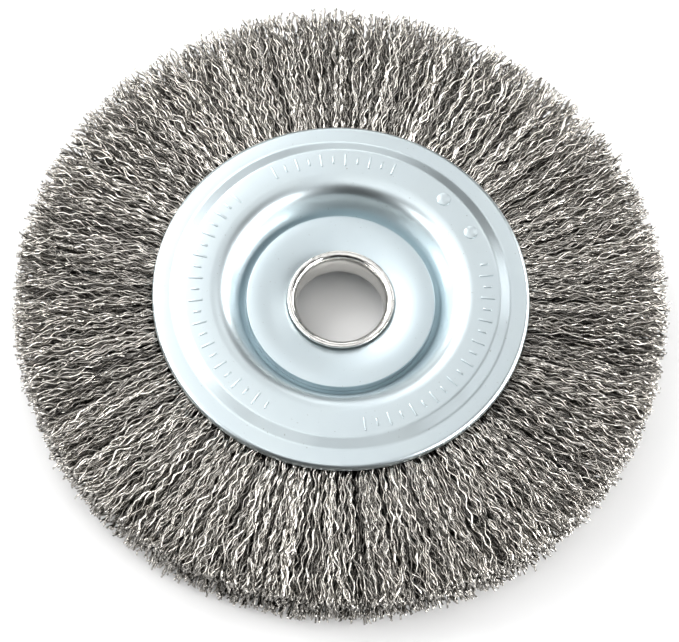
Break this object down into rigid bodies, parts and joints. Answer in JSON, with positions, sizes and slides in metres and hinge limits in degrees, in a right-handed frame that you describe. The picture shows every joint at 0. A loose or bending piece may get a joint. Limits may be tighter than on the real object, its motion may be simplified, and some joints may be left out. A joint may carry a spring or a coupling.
{
  "type": "crimped wire wheel brush",
  "caption": "Crimped-wire wheel brush for a bench grinder: steel wires fanned out between two dished face plates, with hub washers and a flared arbor bore.",
  "frame": {"origin": "centre of the arbor bore, in the wheel's middle plane", "axes": "+Z along the arbor axis, out of the front face plate; X and Y lie in the wheel's middle plane"},
  "size_m": [0.1552, 0.1552, 0.0192],
  "materials": {
    "zinc_plate": "bright zinc plating, soft gloss",
    "zinc_washer": "bright zinc plating, soft gloss",
    "bright_tube": "bright rolled steel",
    "ring_steel": "plain drawn steel",
    "crimped_wire": "crimped bright steel wire, lightly oiled"
  },
  "bodies": {
    "root": {"front_face_plate": "zinc_plate", "rear_face_plate": "zinc_plate", "front_hub_washer": "zinc_washer", "rear_hub_washer": "zinc_washer", "arbor_tube": "bright_tube", "retaining_ring": "ring_steel", "wire_bundle_01": "crimped_wire", "wire_bundle_02": "crimped_wire", "wire_bundle_03": "crimped_wire", "wire_bundle_04": "crimped_wire", "wire_bundle_05": "crimped_wire", "wire_bundle_06": "crimped_wire", "wire_bundle_07": "crimped_wire", "wire_bundle_08": "crimped_wire", "wire_bundle_09": "crimped_wire", "wire_bundle_10": "crimped_wire", "wire_bundle_11": "crimped_wire", "wire_bundle_12": "crimped_wire", "wire_bundle_13": "crimped_wire", "wire_bundle_14": "crimped_wire", "wire_bundle_15": "crimped_wire", "wire_bundle_16": "crimped_wire", "wire_bundle_17": "crimped_wire", "wire_bundle_18": "crimped_wire", "wire_bundle_19": "crimped_wire", "wire_bundle_20": "crimped_wire", "wire_bundle_21": "crimped_wire", "wire_bundle_22": "crimped_wire", "wire_bundle_23": "crimped_wire", "wire_bundle_24": "crimped_wire"}
  },
  "joints": []
}
